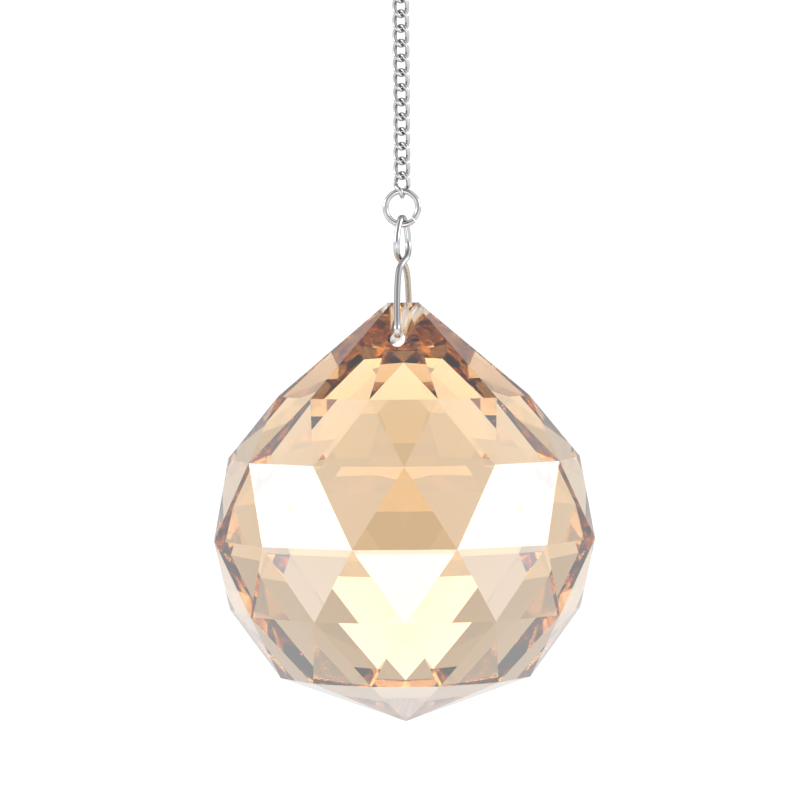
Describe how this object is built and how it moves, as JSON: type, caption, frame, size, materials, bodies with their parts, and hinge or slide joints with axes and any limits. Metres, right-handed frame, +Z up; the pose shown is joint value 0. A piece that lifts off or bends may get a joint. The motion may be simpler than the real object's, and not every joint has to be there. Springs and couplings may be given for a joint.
{
  "type": "crystal suncatcher",
  "caption": "Faceted crystal ball that hangs by a bow-tie wire pin, a jump ring and a fine curb chain from a plain hanging ring.",
  "frame": {"origin": "inner top of the hanging ring, where it bears on its hook", "axes": "+Z up along the chain and the ball's axis; the rings and the flat of the chain face -Y, and the hole through the ball's neck runs along Y, turned 5.4 degrees"},
  "size_m": [0.0386, 0.0386, 0.0872],
  "materials": {
    "crystal": "polished champagne crystal, frosted only inside the drilled hole",
    "metal": "bright nickel plate"
  },
  "bodies": {
    "root": {"crystal_ball": "crystal", "hanger_pin": "metal", "jump_ring": "metal", "chain_link_01": "metal", "chain_link_02": "metal", "chain_link_03": "metal", "chain_link_04": "metal", "chain_link_05": "metal", "chain_link_06": "metal", "chain_link_07": "metal", "chain_link_08": "metal", "chain_link_09": "metal", "chain_link_10": "metal", "chain_link_11": "metal", "chain_link_12": "metal", "chain_link_13": "metal", "chain_link_14": "metal", "chain_link_15": "metal", "chain_link_16": "metal", "hanging_ring": "metal"}
  },
  "joints": []
}
